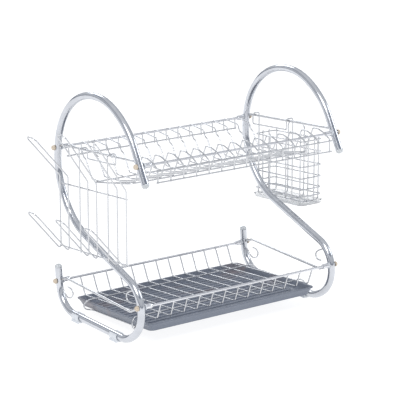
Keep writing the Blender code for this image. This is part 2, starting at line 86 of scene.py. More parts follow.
sky = bpy.data.worlds.new("studio_sky")
bpy.context.scene.world = sky
sky.use_nodes = True
sky_nodes = sky.node_tree.nodes
sky_links = sky.node_tree.links
sky_place = sky_nodes.new("ShaderNodeTexCoord")
sky_split = sky_nodes.new("ShaderNodeSeparateXYZ")
sky_ramp = sky_nodes.new("ShaderNodeValToRGB")
sky_links.new(sky_place.outputs["Generated"], sky_split.inputs["Vector"])
sky_links.new(sky_split.outputs["Z"], sky_ramp.inputs["Fac"])
SKY_BANDS = ((0.00, (1.15, 1.15, 1.16)), (0.025, (1.15, 1.15, 1.16)),
             (0.035, (0.20, 0.23, 0.30)), (0.10, (0.20, 0.23, 0.30)), (0.14, (0.72, 0.74, 0.78)),
             (0.50, (0.90, 0.92, 0.95)), (0.56, (0.36, 0.39, 0.46)), (0.64, (0.32, 0.35, 0.42)),
             (0.70, (0.84, 0.86, 0.90)), (1.00, (0.95, 0.96, 0.98)))
while len(sky_ramp.color_ramp.elements) < len(SKY_BANDS):
    sky_ramp.color_ramp.elements.new(0.5)
for element, (height, colour) in zip(sky_ramp.color_ramp.elements, SKY_BANDS):
    element.position = height
    element.color = (*colour, 1)
sky_links.new(sky_ramp.outputs["Color"], sky_nodes["Background"].inputs["Color"])
sky_nodes["Background"].inputs["Strength"].default_value = 0.85

CAMERA_TURN = math.radians(-35.896)
CAMERA_RISE = math.radians(15.316)
bpy.ops.object.camera_add(
    location=(RACK_X - 1.6906, RACK_Y - 2.3421, 0.9805),
    rotation=(math.radians(90) - CAMERA_RISE, 0, CAMERA_TURN))
camera = bpy.context.active_object
camera.data.lens = 165.56
camera.data.sensor_width = 36
camera.data.clip_end = 200
bpy.context.scene.camera = camera

# ---- Side frames ----------------------------------------------------------------
# Each side is one 12 mm steel tube bent to an S, with a brace wire at each tier and two
# scroll wires welded in its plane, then polished and chrome plated as one piece.
FRAME_HALF = (right_low[0] + right_high[0] - left_low[0] - left_high[0]) / 4
TUBE_R = 0.006
TUBE_Z = 0.009
TUBE_CORNERS = (
    (0.1270, 0.0774, 0.000), (0.1196, TUBE_Z, 0.0434), (-0.0983, TUBE_Z, 0.0550),
    (-0.1153, 0.0544, 0.0450), (-0.1138, 0.0979, 0.0450), (0.1227, 0.1804, 0.1152),
    (0.1200, 0.3990, 0.1181), (-0.0695, 0.3760, 0.1145), (-0.1283, 0.2719, 0.000))
LOW_BACK = (0.1246, 0.0555)
LOW_FRONT = (-0.1146, 0.0734)
TOP_BACK = (0.1212, 0.2812)
TOP_FRONT = (-0.1150, 0.2977)
LOW_BRACE = (LOW_BACK, (0.1180, 0.0590), (0.1010, 0.0650), (-0.0850, 0.0590),
             (-0.1050, 0.0690), LOW_FRONT)
TOP_BRACE = (TOP_BACK, (0.1100, 0.2870), (0.0957, 0.2887), (-0.0977, 0.3027),
             (-0.1080, 0.3020), TOP_FRONT)
REAR_SCROLL = ((0.0985, 0.0510), (0.0900, 0.0508), (0.0835, 0.0470), (0.0840, 0.0400),
               (0.0900, 0.0345), (0.0990, 0.0325), (0.1060, 0.0360), (0.1105, 0.0420),
               (0.1215, 0.0465))
FRONT_SCROLL = ((-0.0880, 0.0744), (-0.0800, 0.0735), (-0.0740, 0.0775), (-0.0740, 0.0850),
                (-0.0815, 0.0905), (-0.0985, 0.0980))
THICK_R = 0.0020
THIN_R = 0.0012


def plated(name, tint, gloss, streak):
    """Chrome plate: faint drawn streaks in the gloss and a soft cloud in the tone."""
    made = bpy.data.materials.new(name)
    made.use_nodes = True
    nodes, links = made.node_tree.nodes, made.node_tree.links
    shader = nodes["Principled BSDF"]
    shader.inputs["Metallic"].default_value = 1.0
    place = nodes.new("ShaderNodeTexCoord")
    cloud = nodes.new("ShaderNodeTexNoise")
    cloud.inputs["Scale"].default_value = 38
    cloud.inputs["Detail"].default_value = 3
    links.new(place.outputs["Object"], cloud.inputs["Vector"])
    tone = nodes.new("ShaderNodeValToRGB")
    tone.color_ramp.elements[0].position = 0.35
    tone.color_ramp.elements[0].color = (*(0.90 * c for c in tint), 1)
    tone.color_ramp.elements[1].position = 0.65
    tone.color_ramp.elements[1].color = (*tint, 1)
    links.new(cloud.outputs["Fac"], tone.inputs["Fac"])
    links.new(tone.outputs["Color"], shader.inputs["Base Color"])
    grain = nodes.new("ShaderNodeTexNoise")
    grain.inputs["Scale"].default_value = 900
    grain.inputs["Detail"].default_value = 2
    links.new(place.outputs["Object"], grain.inputs["Vector"])
    gloss_range = nodes.new("ShaderNodeMapRange")
    gloss_range.inputs["To Min"].default_value = gloss
    gloss_range.inputs["To Max"].default_value = gloss + streak
    links.new(grain.outputs["Fac"], gloss_range.inputs["Value"])
    links.new(gloss_range.outputs["Result"], shader.inputs["Roughness"])
    ripple = nodes.new("ShaderNodeBump")
    ripple.inputs["Strength"].default_value = 0.06
    ripple.inputs["Distance"].default_value = 0.0004
    links.new(cloud.outputs["Fac"], ripple.inputs["Height"])
    links.new(ripple.outputs["Normal"], shader.inputs["Normal"])
    return made


tube_chrome = plated("tube_chrome", (0.63, 0.65, 0.69), 0.10, 0.08)
wire_chrome = plated("wire_chrome", (0.66, 0.67, 0.69), 0.18, 0.08)


def spot(x, place):
    """The point at x on a section point (y, z), both counted from the rack's middle."""
    return Vector((RACK_X + x, RACK_Y + place[0], place[1]))


def draw_run(points):
    """A new object, left in edit mode, holding one line drawn from point to point."""
    bpy.ops.mesh.primitive_plane_add(size=0.001, location=(0, 0, 0))
    drawn = bpy.context.active_object
    bpy.ops.object.mode_set(mode="EDIT")
    bpy.ops.mesh.merge(type="CENTER")
    bpy.ops.transform.translate(value=points[0])
    for here, there in zip(points, points[1:]):
        bpy.ops.mesh.extrude_vertices_move(TRANSFORM_OT_translate={"value": there - here})
    return drawn


def bend_wire(name, corners, radii, thick, finish, closed=False, share=0.49, fine=14, ribs=2):
    """A wire made as on the bench: run straight from corner to corner, then each corner bent
    to its radius, one value for all or one a corner, as far as the shorter run allows."""
    count = len(corners)
    radii = [radii] * count if isinstance(radii, (int, float)) else radii
    bends = []
    for i, corner in enumerate(corners):
        before = corners[i - 1] - corner
        after = corners[(i + 1) % count] - corner
        angle = math.pi - before.angle(after)
        if (not closed and i in (0, count - 1)) or radii[i] == 0 or angle < 0.05:
            continue
        room = share * min(before.length, after.length)
        back = min(radii[i] * math.tan(angle / 2), room)
        bends.append((corner, back, max(2, round(math.degrees(angle) / fine))))
    wire = draw_run(corners)
    if closed:
        shape = bmesh.from_edit_mesh(wire.data)
        shape.verts.ensure_lookup_table()
        for vert in shape.verts:
            vert.select_set(len(vert.link_edges) == 1)
        bmesh.update_edit_mesh(wire.data)
        bpy.ops.mesh.edge_face_add()
    for corner, back, cuts in bends:
        shape = bmesh.from_edit_mesh(wire.data)
        nearest = min(shape.verts, key=lambda v: (v.co - corner).length)
        for vert in shape.verts:
            vert.select_set(vert == nearest)
        bmesh.update_edit_mesh(wire.data)
        bpy.ops.mesh.bevel(offset_type="OFFSET", offset=back, segments=cuts,
                           affect="VERTICES", clamp_overlap=False)
    bpy.ops.object.mode_set(mode="OBJECT")
    bpy.ops.object.convert(target="CURVE")
    wire = bpy.context.active_object
    wire.data.bevel_depth = thick
    wire.data.bevel_resolution = ribs
    wire.data.use_fill_caps = not closed
    bpy.ops.object.convert(target="MESH")
    wire = bpy.context.active_object
    bpy.ops.object.mode_set(mode="EDIT")
    bpy.ops.mesh.select_all(action="SELECT")
    bpy.ops.mesh.remove_doubles(threshold=1e-6)
    bpy.ops.mesh.normals_make_consistent(inside=False)
    bpy.ops.object.mode_set(mode="OBJECT")
    wire.data.materials.clear()
    wire.data.materials.append(finish)
    bpy.ops.object.shade_smooth_by_angle(angle=math.radians(50))
    wire.name = name
    wire.select_set(False)
    return wire


def join_up(name, wires):
    """Welds several wires into one piece."""
    for wire in wires:
        wire.select_set(True)
    bpy.context.view_layer.objects.active = wires[0]
    bpy.ops.object.join()
    wires[0].name = name
    wires[0].select_set(False)
    return wires[0]


def copy_along(piece, name, shift):
    """A copy with its own mesh, moved along the rails."""
    piece.select_set(True)
    bpy.context.view_layer.objects.active = piece
    bpy.ops.object.duplicate()
    piece.select_set(False)
    other = bpy.context.active_object
    other.location = (shift, 0, 0)
    bpy.ops.object.transform_apply(location=True, rotation=True, scale=True)
    other.name = name
    other.select_set(False)
    return other


# One open tube bent in its own plane; the right side frame is the same shape again.
tube_radii = [radius for _, _, radius in TUBE_CORNERS]
left_tube = bend_wire("left_tube", [spot(-FRAME_HALF, p) for p in TUBE_CORNERS], tube_radii,
                      TUBE_R, tube_chrome, share=0.9, fine=6, ribs=6)
frame_wires = []
for line in (LOW_BRACE, TOP_BRACE):
    frame_wires.append(bend_wire("brace", [spot(-FRAME_HALF, p) for p in line], 0.006,
                                 THICK_R, wire_chrome, ribs=4))
for line in (REAR_SCROLL, FRONT_SCROLL):
    frame_wires.append(bend_wire("scroll", [spot(-FRAME_HALF, p) for p in line], 0.007,
                                 THIN_R, wire_chrome, ribs=3))
left_frame_wires = join_up("left_frame_wires", frame_wires)
right_tube = copy_along(left_tube, "right_tube", 2 * FRAME_HALF)
right_frame_wires = copy_along(left_frame_wires, "right_frame_wires", 2 * FRAME_HALF)
for label, pieces in (("left", (left_tube, left_frame_wires)),
                      ("right", (right_tube, right_frame_wires))):
    for piece in pieces:
        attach(piece, "stand")
        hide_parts(f"{label}_side_frame")

# ---- End plugs --------------------------------------------------------------------
# Each open end of a tube is stopped by a small moulded plug of milky plastic: a stem that
# pushes into the bore and a low round head.
PLUG_STEM = 0.0047
PLUG_DEEP = 0.0100


def moulded(name, colour, roughness, see_through, coarse):
    """Moulded plastic with a fine uneven surface and slightly clouded colour."""
    made = bpy.data.materials.new(name)
    made.use_nodes = True
    nodes, links = made.node_tree.nodes, made.node_tree.links
    shader = nodes["Principled BSDF"]
    shader.inputs["Transmission Weight"].default_value = see_through
    shader.inputs["IOR"].default_value = 1.49
    place = nodes.new("ShaderNodeTexCoord")
    cloud = nodes.new("ShaderNodeTexNoise")
    cloud.inputs["Scale"].default_value = coarse
    cloud.inputs["Detail"].default_value = 4
    links.new(place.outputs["Object"], cloud.inputs["Vector"])
    tone = nodes.new("ShaderNodeValToRGB")
    tone.color_ramp.elements[0].position = 0.3
    tone.color_ramp.elements[0].color = (*(0.92 * c for c in colour), 1)
    tone.color_ramp.elements[1].position = 0.7
    tone.color_ramp.elements[1].color = (*colour, 1)
    links.new(cloud.outputs["Fac"], tone.inputs["Fac"])
    links.new(tone.outputs["Color"], shader.inputs["Base Color"])
    skin = nodes.new("ShaderNodeTexNoise")
    skin.inputs["Scale"].default_value = 1400
    skin.inputs["Detail"].default_value = 3
    links.new(place.outputs["Object"], skin.inputs["Vector"])
    gloss = nodes.new("ShaderNodeMapRange")
    gloss.inputs["To Min"].default_value = roughness
    gloss.inputs["To Max"].default_value = roughness + 0.14
    links.new(skin.outputs["Fac"], gloss.inputs["Value"])
    links.new(gloss.outputs["Result"], shader.inputs["Roughness"])
    dimple = nodes.new("ShaderNodeBump")
    dimple.inputs["Strength"].default_value = 0.12
    dimple.inputs["Distance"].default_value = 0.0002
    links.new(skin.outputs["Fac"], dimple.inputs["Height"])
    links.new(dimple.outputs["Normal"], shader.inputs["Normal"])
    return made


milky_plastic = moulded("milky_plastic", (0.84, 0.87, 0.89), 0.12, 0.35, 90)


def lathe(name, profile, where, along, finish, ring_like=False, sides=32):
    """A turned piece: the half section (radius, height) is drawn out point by point, then
    spun once round the axis that points along."""
    points = [Vector((r, 0, z)) for r, z in profile]
    if ring_like:
        points.append(points[0])
    made = draw_run(points)
    bpy.ops.mesh.select_all(action="SELECT")
    bpy.ops.mesh.spin(steps=sides, angle=2 * math.pi, center=(0, 0, 0), axis=(0, 0, 1))
    bpy.ops.mesh.select_all(action="SELECT")
    bpy.ops.mesh.remove_doubles(threshold=1e-6)
    bpy.ops.mesh.normals_make_consistent(inside=False)
    bpy.ops.object.mode_set(mode="OBJECT")
    made.name = name
    made.rotation_euler = Vector(along).to_track_quat("Z", "Y").to_euler()
    made.location = where
    bpy.ops.object.transform_apply(location=True, rotation=True, scale=True)
    made.data.materials.append(finish)
    bpy.ops.object.shade_smooth_by_angle(angle=math.radians(35))
    made.select_set(False)
    return made


for side, label in ((-1, "left"), (1, "right")):
    for end, tip, inner in (("rear", TUBE_CORNERS[0], TUBE_CORNERS[1]),
                            ("front", TUBE_CORNERS[-1], TUBE_CORNERS[-2])):
        outward = spot(0, tip) - spot(0, inner)
        plug = lathe(f"{label}_{end}_plug", (
            (0, -PLUG_DEEP), (PLUG_STEM, -PLUG_DEEP), (PLUG_STEM, 0.0003), (0.0059, 0.0003),
            (0.0060, 0.0006), (0.0060, 0.0020), (0.0057, 0.0032), (0.0049, 0.0043),
            (0.0036, 0.0053), (0.0019, 0.0060), (0, 0.0062)),
            spot(side * FRAME_HALF, tip), outward, milky_plastic)
        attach(plug, "stand")
        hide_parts(f"{label}_{end}_end_plug")

# ---- Feet ---------------------------------------------------------------------------
# Four white plastic clips snap round the tube's bottom run; each has a flat sole.
FOOT_LONG = 0.019
CLIP_IN = TUBE_R + 0.0003
CLIP_OUT = TUBE_R + 0.0022
FOOT_HALF = 0.0085
CLIP_MOUTH = math.radians(38)
CLIP_TOE = math.radians(-40)


def soften_edges(piece, width, segments, sharp):
    """Rounds every edge that turns by more than sharp degrees."""
    soften = piece.modifiers.new("soften", "BEVEL")
    soften.width = width
    soften.segments = segments
    soften.limit_method = "ANGLE"
    soften.angle_limit = math.radians(sharp)
    bpy.ops.object.modifier_apply(modifier="soften")


foot_white = moulded("foot_white", (0.74, 0.77, 0.81), 0.22, 0.0, 120)
clip_side = [(CLIP_OUT * math.cos(CLIP_MOUTH + (CLIP_TOE - CLIP_MOUTH) * k / 14),
              CLIP_OUT * math.sin(CLIP_MOUTH + (CLIP_TOE - CLIP_MOUTH) * k / 14))
             for k in range(15)]
clip_side += [(FOOT_HALF, 0.0015 - TUBE_Z), (FOOT_HALF - 0.0008, -TUBE_Z)]
clip_inside = [(CLIP_IN * math.cos(a), CLIP_IN * math.sin(a)) for a in
               (math.pi - CLIP_MOUTH + (math.pi + 2 * CLIP_MOUTH) * k / 28 for k in range(29))]
clip_outline = clip_side + [(-x, z) for x, z in reversed(clip_side)] + clip_inside
for side, label in ((-1, "left"), (1, "right")):
    for end, foot_y in (("front", -0.044), ("rear", 0.068)):
        start = spot(side * FRAME_HALF, (foot_y + FOOT_LONG / 2, TUBE_Z))
        foot = draw_run([start + Vector((x, 0, z)) for x, z in clip_outline])
        bpy.ops.mesh.select_all(action="SELECT")
        bpy.ops.mesh.edge_face_add()
        bpy.ops.mesh.extrude_region_move(
            TRANSFORM_OT_translate={"value": (0, -FOOT_LONG, 0)})
        bpy.ops.mesh.select_all(action="SELECT")
        bpy.ops.mesh.normals_make_consistent(inside=False)
        bpy.ops.object.mode_set(mode="OBJECT")
        foot.name = f"{label}_{end}_clip_foot"
        soften_edges(foot, 0.00035, 2, 40)
        foot.data.materials.append(foot_white)
        bpy.ops.object.shade_smooth_by_angle(angle=math.radians(35))
        foot.select_set(False)
        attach(foot, "stand")
        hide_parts(f"{label}_{end}_foot")

# ---- Screws, caps and washers -------------------------------------------------------
# A screw at each joint runs through the tube and a white washer into the rail's sleeve;
# a cream cap hides its head. The screws are the frame's own, with the wires' finish.
JOINTS = (("lower_rear", LOW_BACK), ("lower_front", LOW_FRONT),
          ("upper_rear", TOP_BACK), ("upper_front", TOP_FRONT))
WASHER_THICK = 0.0016
cap_cream = moulded("cap_cream", (0.66, 0.56, 0.44), 0.20, 0.0, 200)
for side, label in ((-1, "left"), (1, "right")):
    for joint, joint_spot in JOINTS:
        seat = spot(side * (FRAME_HALF + TUBE_R + 0.0003), joint_spot)
        cap = lathe(f"{label}_{joint}_cap", (
            (0, 0.0025), (0.0037, 0.0025), (0.0037, 0), (0.0041, 0), (0.0043, 0.0003),
            (0.0043, 0.0020), (0.0040, 0.0031), (0.0034, 0.0040), (0.0026, 0.0047),
            (0.0014, 0.0052), (0, 0.0054)), seat, (side, 0, 0), cap_cream)
        inner_face = spot(side * (FRAME_HALF - TUBE_R - 0.0003), joint_spot)
        washer = lathe(f"{label}_{joint}_ring", (
            (0.0023, 0), (0.0046, 0), (0.0049, -0.00012), (0.0050, -0.0004),
            (0.0050, 0.0003 - WASHER_THICK), (0.0047, -WASHER_THICK), (0.0023, -WASHER_THICK)),
            inner_face, (side, 0, 0), foot_white, ring_like=True)
        for piece, node, slot in ((cap, "screw_cap", "cream_plastic"),
                                  (washer, "washer", "white_plastic")):
            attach(piece, "stand")
            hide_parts(f"{label}_{joint}_{node}")
        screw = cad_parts[f"{label}_{joint}_screw"]
        screw.material_slots[0].material = wire_chrome

# ---- Lower basket --------------------------------------------------------------------
# Thirteen wires bent to a shallow trough hang between two thick rails, whose ends carry
# turned sleeves for the screws. Everything is spot welded and plated together.
SLEEVE_R = 0.0040
SLEEVE_LONG = 0.011
SLEEVE_X = FRAME_HALF - TUBE_R - WASHER_THICK - 0.0006
RAIL_X = SLEEVE_X - SLEEVE_LONG + 0.0015
LOW_WIRES = 13
LOW_PITCH = 0.0252
LAP = 0.0018
CROSS = 2 * THIN_R * 0.866 - 0.0003
TOUCH = (THICK_R + THIN_R) * 0.866 - 0.0003
LOW_SECTION = ((LOW_BACK[0] - LAP, LOW_BACK[1] + THIN_R), (0.1080, 0.0270),
               (-0.1015, 0.0446), (LOW_FRONT[0] + LAP, LOW_FRONT[1] + THIN_R))


def thick_rail(name, section_spot):
    """A rail with a sleeve pushed on each end."""
    made = [bend_wire("rail", [spot(-RAIL_X, section_spot), spot(RAIL_X, section_spot)], 0,
                      THICK_R, rail_chrome, ribs=5)]
    for side in (-1, 1):
        made.append(lathe("sleeve", (
            (0, -SLEEVE_LONG), (SLEEVE_R - 0.0010, -SLEEVE_LONG),
            (SLEEVE_R - 0.0003, -SLEEVE_LONG + 0.0003), (SLEEVE_R, -SLEEVE_LONG + 0.001),
            (SLEEVE_R, -0.0003), (SLEEVE_R - 0.0003, 0), (0.0023, 0), (0.0023, -0.008),
            (0, -0.008)), spot(side * SLEEVE_X, section_spot), (side, 0, 0), rail_chrome))
    return join_up(name, made)


def row_of_wires(name, section, radii, count, pitch):
    """One cross wire bent to the section, then copied along the rails."""
    first = bend_wire(name, [spot(-(count - 1) / 2 * pitch, p) for p in section], radii,
                      THIN_R, wire_chrome, ribs=2)
    rest = [copy_along(first, name, k * pitch) for k in range(1, count)]
    return join_up(name, [first] + rest)


rail_chrome = plated("rail_chrome", (0.80, 0.81, 0.84), 0.16, 0.08)
low_back_rail = thick_rail("lower_back_rail", LOW_BACK)
low_front_rail = thick_rail("lower_front_rail", LOW_FRONT)
low_cross_wires = row_of_wires("lower_cross_wires", LOW_SECTION, 0.006, LOW_WIRES, LOW_PITCH)

# The tray carrier is one closed wire: its back run lies on the floor wires, it curls round
# the tray's ends and passes under them, and its front run is under the floor wires.
TRAY_HALF = 0.1600
TRAY_SLOPE = math.atan2(0.0077, 0.138)


def on_line(place, start, end):
    share = (place - start[0]) / (end[0] - start[0])
    return start[1] + share * (end[1] - start[1])


def tray_under(y):
    return 0.0137 + (0.08 - y) * math.tan(TRAY_SLOPE)


CARRIER_BACK = (0.0705, on_line(0.0705, LOW_SECTION[1], LOW_SECTION[2]) + CROSS)
CARRIER_FRONT = (-0.0630, on_line(-0.0630, LOW_SECTION[1], LOW_SECTION[2]) - CROSS)
half_carrier = (
    (0.1600, CARRIER_BACK), (0.1745, (0.0730, 0.0300)), (0.1745, (0.0770, 0.0150)),
    (TRAY_HALF - 0.0008, (0.0740, tray_under(0.0740) - THIN_R - 0.0003)),
    (TRAY_HALF - 0.0008, (-0.0540, tray_under(-0.0540) - THIN_R - 0.0003)),
    (0.1710, (-0.0640, tray_under(-0.0640) - THIN_R - 0.0003)),
    (0.1750, (-0.0660, 0.0290)), (0.1700, CARRIER_FRONT))
carrier_run = [spot(x, p) for x, p in half_carrier]
carrier_run += [spot(-x, p) for x, p in reversed(half_carrier)]
tray_carrier = bend_wire("tray_carrier", carrier_run, 0.009, THIN_R, wire_chrome,
                         closed=True, fine=10, ribs=3)
for piece in (low_back_rail, low_front_rail, low_cross_wires, tray_carrier):
    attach(piece, "stand")
    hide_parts("lower_basket")

# ---- Drip tray -----------------------------------------------------------------------
# A shallow moulded tray of slate grey plastic with a turned-out rim and low ribs along its
# floor. It lies tilted on the carrier's end runs and pulls out to the front.
TRAY_FRONT, TRAY_BACK = -0.097, 0.108
TRAY_FLARE = 0.0062
TRAY_HIGH = 0.013
TRAY_WALL = 0.0018
TRAY_LIP = 0.0016
TRAY_START = 0.0015
TRAY_RIBS = 15
RIB_WIDE, RIB_HIGH = 0.003, 0.0024
RIB_MARGIN = 0.024
CORNER_R = 0.009
tray_deep = TRAY_BACK - TRAY_FRONT
tray_mid = (TRAY_FRONT + TRAY_BACK) / 2
tray_slate = moulded("tray_slate", (0.190, 0.215, 0.270), 0.20, 0.0, 30)
# Painted reflection: faint warm patches, painted into the colour, stand in for reflections along
# the back half of the floor.
tray_nodes, tray_links = tray_slate.node_tree.nodes, tray_slate.node_tree.links
tray_shader = tray_nodes["Principled BSDF"]
slate_tone = tray_shader.inputs["Base Color"].links[0].from_socket
reflection_place = tray_nodes.new("ShaderNodeTexCoord")
reflection_stretch = tray_nodes.new("ShaderNodeMapping")
reflection_stretch.inputs["Scale"].default_value = (9, 34, 9)
reflection_noise = tray_nodes.new("ShaderNodeTexNoise")
reflection_noise.inputs["Scale"].default_value = 1.0
reflection_noise.inputs["Detail"].default_value = 2
reflection_ramp = tray_nodes.new("ShaderNodeValToRGB")
reflection_ramp.color_ramp.elements[0].position = 0.52
reflection_ramp.color_ramp.elements[0].color = (0, 0, 0, 1)
reflection_ramp.color_ramp.elements[1].position = 0.70
reflection_ramp.color_ramp.elements[1].color = (0.45, 0.45, 0.45, 1)
# The warm colour mixed in here is a painted reflection, not a stain.
reflection_mix = tray_nodes.new("ShaderNodeMix")
reflection_mix.data_type = "RGBA"
reflection_mix.inputs["B"].default_value = (0.30, 0.215, 0.20, 1)
tray_links.new(reflection_place.outputs["Object"], reflection_stretch.inputs["Vector"])
tray_links.new(reflection_stretch.outputs["Vector"], reflection_noise.inputs["Vector"])
tray_links.new(reflection_noise.outputs["Fac"], reflection_ramp.inputs["Fac"])
reflection_split = tray_nodes.new("ShaderNodeSeparateXYZ")
reflection_back = tray_nodes.new("ShaderNodeMapRange")
reflection_back.inputs["From Min"].default_value = -0.03
reflection_back.inputs["From Max"].default_value = 0.03
reflection_both = tray_nodes.new("ShaderNodeMath")
reflection_both.operation = "MULTIPLY"
tray_links.new(reflection_place.outputs["Object"], reflection_split.inputs["Vector"])
tray_links.new(reflection_split.outputs["Y"], reflection_back.inputs["Value"])
tray_links.new(reflection_ramp.outputs["Color"], reflection_both.inputs[0])
tray_links.new(reflection_back.outputs["Result"], reflection_both.inputs[1])
tray_links.new(reflection_both.outputs["Value"], reflection_mix.inputs["Factor"])
tray_links.new(slate_tone, reflection_mix.inputs["A"])
tray_links.new(reflection_mix.outputs["Result"], tray_shader.inputs["Base Color"])


def widen(to_x, to_y, from_x, from_y):
    bpy.ops.transform.resize(value=(to_x / from_x, to_y / from_y, 1),
                             center_override=(0, 0, 0))


def step_out(rise, grow_to, grow_from):
    """Extrudes the selected top and brings it from one outline's half sizes to the next."""
    bpy.ops.mesh.extrude_region_move(TRANSFORM_OT_translate={"value": (0, 0, rise)})
    widen(*grow_to, *grow_from)


def grown(amount):
    return (TRAY_HALF + amount, tray_deep / 2 + amount)


def round_slab(half_sizes, thick):
    """A thin slab on z = 0 with round corners, left in edit mode with its top selected."""
    bpy.ops.mesh.primitive_cube_add(size=1, location=(0, 0, thick / 2))
    slab = bpy.context.active_object
    slab.scale = (2 * half_sizes[0], 2 * half_sizes[1], thick)
    bpy.ops.object.transform_apply(location=True, rotation=True, scale=True)
    bpy.ops.object.mode_set(mode="EDIT")
    bpy.ops.mesh.select_mode(type="EDGE")
    shape = bmesh.from_edit_mesh(slab.data)
    for vert in shape.verts:
        vert.select_set(False)
    for edge in shape.edges:
        a, b = edge.verts
        edge.select_set(abs(a.co.x - b.co.x) < 1e-6 and abs(a.co.y - b.co.y) < 1e-6)
    bmesh.update_edit_mesh(slab.data)
    bpy.ops.mesh.bevel(offset=CORNER_R, segments=8, affect="EDGES")
    bpy.ops.mesh.select_mode(type="FACE")
    shape = bmesh.from_edit_mesh(slab.data)
    for face in shape.faces:
        face.select_set(False)
    highest = max(f.calc_center_median().z for f in shape.faces)
    for face in shape.faces:
        face.select_set(face.calc_center_median().z > highest - 1e-6)
    bmesh.update_edit_mesh(slab.data)
    return slab


drip_tray = round_slab(grown(0), TRAY_START)
step_out(TRAY_HIGH - TRAY_WALL - TRAY_START, grown(TRAY_FLARE - TRAY_LIP), grown(0))
step_out(0, grown(TRAY_FLARE), grown(TRAY_FLARE - TRAY_LIP))
step_out(TRAY_WALL, grown(TRAY_FLARE), grown(TRAY_FLARE))
step_out(0, grown(TRAY_FLARE - TRAY_LIP - TRAY_WALL), grown(TRAY_FLARE))
step_out(TRAY_WALL - TRAY_HIGH, grown(-TRAY_WALL - 0.001),
         grown(TRAY_FLARE - TRAY_LIP - TRAY_WALL))
bpy.ops.mesh.select_mode(type="VERT")
bpy.ops.mesh.select_all(action="SELECT")
bpy.ops.mesh.normals_make_consistent(inside=False)
bpy.ops.object.mode_set(mode="OBJECT")
soften_edges(drip_tray, 0.0005, 3, 30)
drip_tray.select_set(False)
bpy.ops.mesh.primitive_cube_add(size=1, location=(0, 0, 0))
rib = bpy.context.active_object
rib.scale = (2 * TRAY_HALF - RIB_MARGIN, RIB_WIDE, RIB_HIGH)
rib.location = (0, -(tray_deep - RIB_MARGIN) / 2, TRAY_WALL)
bpy.ops.object.transform_apply(location=True, rotation=True, scale=True)
round_off = rib.modifiers.new("round_off", "BEVEL")
round_off.width = 0.0009
round_off.segments = 3
bpy.ops.object.modifier_apply(modifier="round_off")
repeat = rib.modifiers.new("repeat", "ARRAY")
repeat.count = TRAY_RIBS
repeat.use_relative_offset = False
repeat.use_constant_offset = True
repeat.constant_offset_displace = (0, (tray_deep - RIB_MARGIN) / (TRAY_RIBS - 1), 0)
bpy.ops.object.modifier_apply(modifier="repeat")
rib.select_set(False)
drip_tray = join_up("slate_tray", [drip_tray, rib])
drip_tray.data.materials.clear()
drip_tray.data.materials.append(tray_slate)
drip_tray.select_set(True)
bpy.context.view_layer.objects.active = drip_tray
bpy.ops.object.shade_smooth_by_angle(angle=math.radians(35))
drip_tray.rotation_euler = (-TRAY_SLOPE, 0, 0)
drip_tray.location = spot(0, (tray_mid, tray_under(tray_mid)))
bpy.ops.object.transform_apply(location=True, rotation=True, scale=True)
drip_tray.select_set(False)
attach(drip_tray, "drip_tray")
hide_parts("drip_tray")

# ---- Upper basket --------------------------------------------------------------------
# Fifteen wires, each bent to a plate tooth at the back and one at the front, welded to two
# thick rails, three thin long wires and a loop under the floor.
TOP_WIRES = 15
TOP_PITCH = 0.0240
TOP_SECTION = (
    (0.1228, 0.2615), (0.1240, 0.2790), (TOP_BACK[0], TOP_BACK[1] + TOUCH),
    (0.0830, 0.2805), (0.0790, 0.2705), (0.0725, 0.2680), (0.0550, 0.2392),
    (0.0100, 0.2415), (-0.0680, 0.2600), (-0.0880, 0.3038), (-0.1019, 0.3042),
    (TOP_FRONT[0] - 0.0010, TOP_FRONT[1] + TOUCH), (-0.1300, 0.2925), (-0.1300, 0.2705))
top_back_rail = thick_rail("upper_back_rail", TOP_BACK)
top_front_rail = thick_rail("upper_front_rail", TOP_FRONT)
top_cross_wires = row_of_wires("upper_cross_wires", TOP_SECTION, 0.004, TOP_WIRES, TOP_PITCH)
top_half = (TOP_WIRES - 1) / 2 * TOP_PITCH + 0.0035
long_wires = []
for line in ((TOP_SECTION[0][0] + CROSS, 0.2630), (-0.1300 - CROSS, 0.2900),
             (-0.1300 - CROSS, 0.2725)):
    long_wires.append(bend_wire("long_wire", [spot(-top_half, line), spot(top_half, line)], 0,
                                THIN_R, wire_chrome, ribs=3))
top_long_wires = join_up("upper_long_wires", long_wires)
FLOOR_BACK = (0.0385, 0.2400 - CROSS)
FLOOR_FRONT = (-0.0660, 0.2595 - CROSS)
loop_half = top_half + 0.004
top_floor_loop = bend_wire(
    "upper_floor_loop",
    [spot(loop_half, FLOOR_BACK), spot(loop_half, FLOOR_FRONT),
     spot(-loop_half, FLOOR_FRONT), spot(-loop_half, FLOOR_BACK)],
    0.012, THIN_R, wire_chrome, closed=True, ribs=3)
for piece in (top_back_rail, top_front_rail, top_cross_wires, top_long_wires, top_floor_loop):
    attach(piece, "stand")
    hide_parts("upper_basket")

# ---- Mug rack ------------------------------------------------------------------------
# Three closed wire pairs, each with an upper and a lower cup hook, welded to two wires
# along them and to the hanger wire whose two hooks go over the left upper brace.
MUG_X = -0.2008
MUG_PAIRS = (("rear", 0.0870, 0.0610, 0.0710), ("middle", 0.0035, 0.0565, 0.0840),
             ("front", -0.0800, 0.0555, 0.0840))
PAIR_HALF = 0.0125
MUG_SINGLES = (0.0395, -0.0415)
MUG_LOW_HOOK = (0.0630, 0.0745)
MUG_FOOT = -0.1720
MUG_SHOULDER = -0.0465
MUG_LOW, MUG_HIGH = -0.1650, -0.0600
BRACE_MID_Z = 0.2956
BRACE_SLOPE = math.radians(4.14)


def hung(x, y, z):
    """A point z above the upper brace's line, which rises to the front."""
    return spot(x, (y, BRACE_MID_Z - y * math.tan(BRACE_SLOPE) + z))


